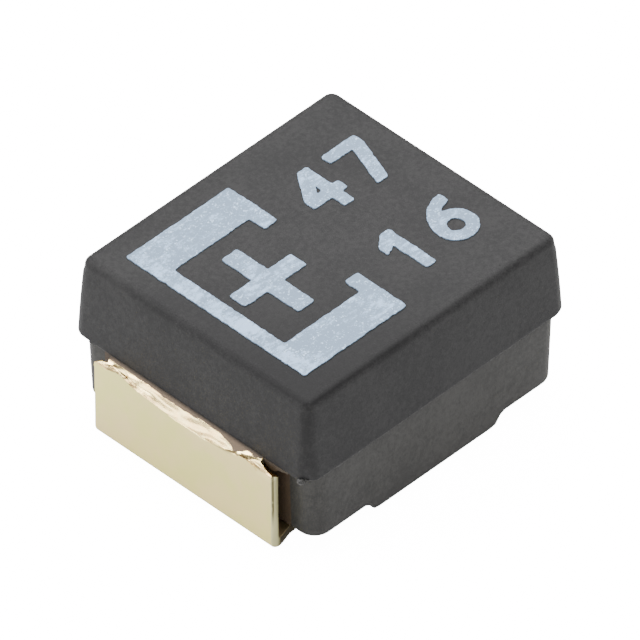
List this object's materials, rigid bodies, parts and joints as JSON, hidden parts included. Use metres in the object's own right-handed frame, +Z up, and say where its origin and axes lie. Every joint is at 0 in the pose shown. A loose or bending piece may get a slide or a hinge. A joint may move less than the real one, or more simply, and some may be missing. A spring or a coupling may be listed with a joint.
{
  "type": "tantalum chip capacitor",
  "caption": "Moulded tantalum chip capacitor with folded end terminals, a marked anode end, and the coated sintered pellet, wire and washer inside.",
  "frame": {"origin": "at board level, under the middle of the case", "axes": "+X from the marked anode end to the cathode end, +Y across the case so that the figures read upright, +Z up through the marked top face"},
  "size_m": [0.0034, 0.003, 0.0018],
  "materials": {
    "moulding": "satin filled epoxy moulding",
    "plating": "satin plated strip",
    "tantalum_powder": "porous sintered powder",
    "tantalum_metal": "drawn wire",
    "washer": "waxy fluoropolymer",
    "manganese": "dull crystalline oxide",
    "carbon": "dull graphite paint",
    "silver": "matt silver-filled resin",
    "ink": "matt marking"
  },
  "bodies": {
    "root": {"moulded_case": "moulding", "anode_terminal": "plating", "cathode_terminal": "plating", "tantalum_pellet": "tantalum_powder", "tantalum_wire": "tantalum_metal", "wire_washer": "washer", "manganese_coat": "manganese", "carbon_coat": "carbon", "silver_coat": "silver", "silver_adhesive": "silver", "polarity_bracket": "ink", "plus_sign": "ink", "rating_digits": "ink"}
  },
  "joints": []
}
